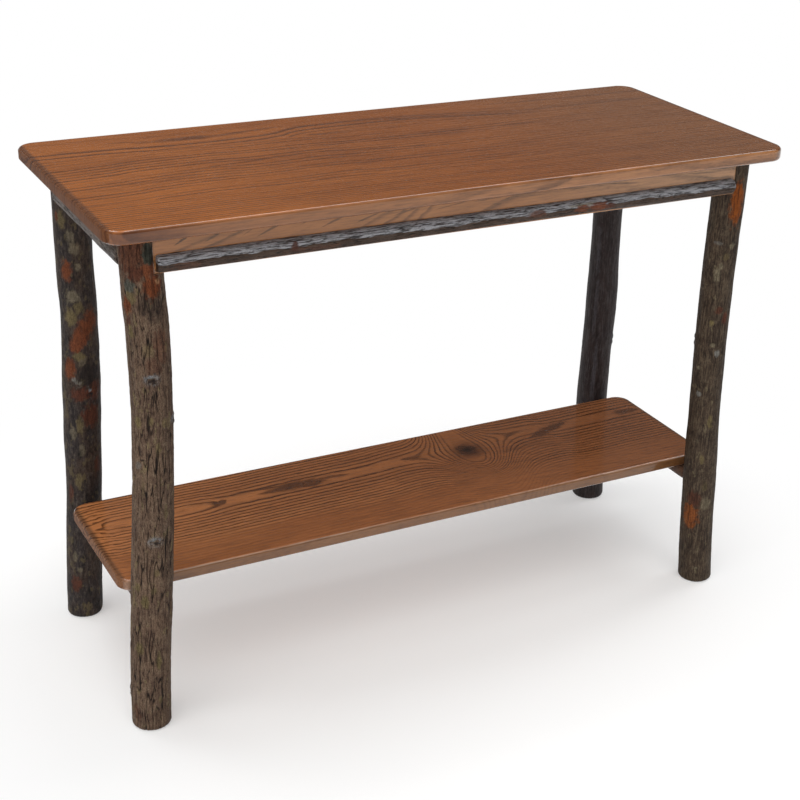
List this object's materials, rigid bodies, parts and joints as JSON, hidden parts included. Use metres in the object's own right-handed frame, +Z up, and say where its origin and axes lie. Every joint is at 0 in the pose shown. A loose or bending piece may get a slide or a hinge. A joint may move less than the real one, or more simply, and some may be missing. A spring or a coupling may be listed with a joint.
{
  "type": "rustic side table",
  "caption": "Long rustic side table with a rounded oak top, oak aprons edged in split saplings, bark-covered pole legs and a low oak shelf on round rails.",
  "frame": {"origin": "on the floor, under the middle of the tabletop", "axes": "+X along the length to the right, +Y from the front to the back, +Z up"},
  "size_m": [1.0668, 0.441, 0.768],
  "materials": {
    "top_oak": "stained oak, satin varnish",
    "shelf_oak": "stained oak, satin varnish",
    "apron_oak": "stained oak, satin varnish",
    "leg_bark": "bark left on, clear varnish",
    "rail_bark": "bark left on, clear varnish",
    "trim_bark": "bark left on, glossy varnish",
    "cleat_wood": "bare hardwood",
    "screw_steel": "zinc plated",
    "brad_steel": "plain steel"
  },
  "bodies": {
    "root": {"top_board_1": "top_oak", "top_board_2": "top_oak", "top_board_3": "top_oak", "top_board_4": "top_oak", "shelf_board": "shelf_oak", "leg_front_left": "leg_bark", "leg_back_left": "leg_bark", "leg_back_right": "leg_bark", "leg_front_right": "leg_bark", "apron_front": "apron_oak", "trim_front": "trim_bark", "cleat_front": "cleat_wood", "apron_back": "apron_oak", "trim_back": "trim_bark", "cleat_back": "cleat_wood", "apron_left": "apron_oak", "trim_left": "trim_bark", "cleat_left": "cleat_wood", "apron_right": "apron_oak", "trim_right": "trim_bark", "cleat_right": "cleat_wood", "rail_left": "rail_bark", "rail_right": "rail_bark", "leg_screws": "screw_steel", "cleat_screws": "screw_steel", "top_screws": "screw_steel", "shelf_screws": "screw_steel", "trim_brads": "brad_steel"}
  },
  "joints": []
}
